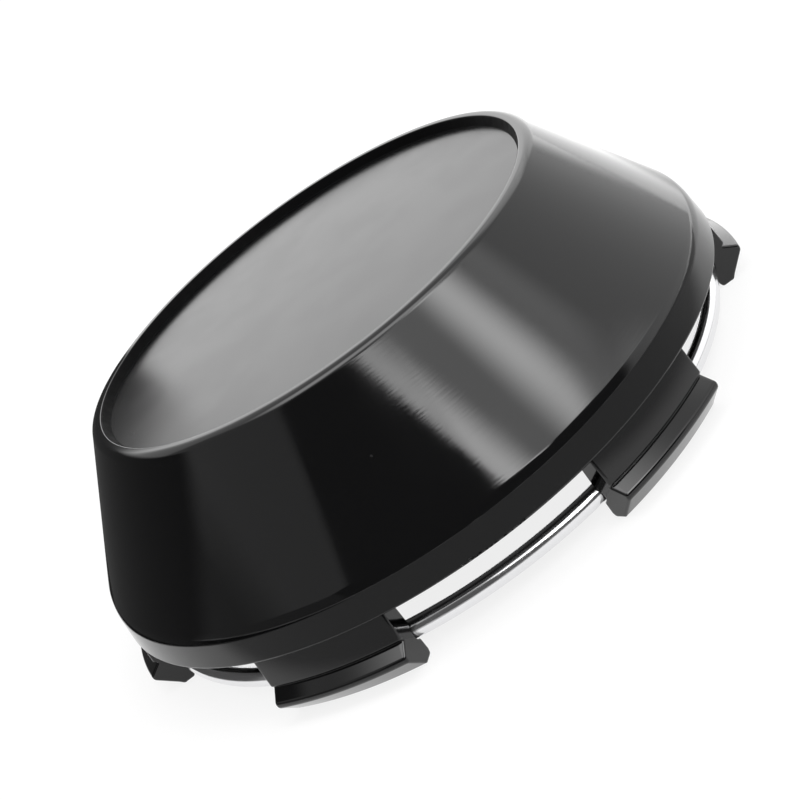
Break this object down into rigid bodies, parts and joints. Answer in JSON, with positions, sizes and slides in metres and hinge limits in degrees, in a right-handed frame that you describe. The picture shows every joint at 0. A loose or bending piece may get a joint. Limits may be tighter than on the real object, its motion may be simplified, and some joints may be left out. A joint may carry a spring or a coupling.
{
  "type": "wheel centre cap",
  "caption": "Round snap-in wheel centre cap: a shallow recessed face, a sloping wall, barbed clip fingers and a wire spring ring behind them.",
  "frame": {"origin": "on the cap's axis, at the level of the finger tips", "axes": "+Z along the cap's axis, towards its face; +X through the middle of a clip finger"},
  "size_m": [0.0774, 0.075, 0.026],
  "materials": {
    "black_plastic": "glossy black moulding, satin in the recess",
    "bright_wire": "bright drawn spring wire"
  },
  "bodies": {
    "root": {"cap_body": "black_plastic", "spring_ring": "bright_wire"}
  },
  "joints": []
}
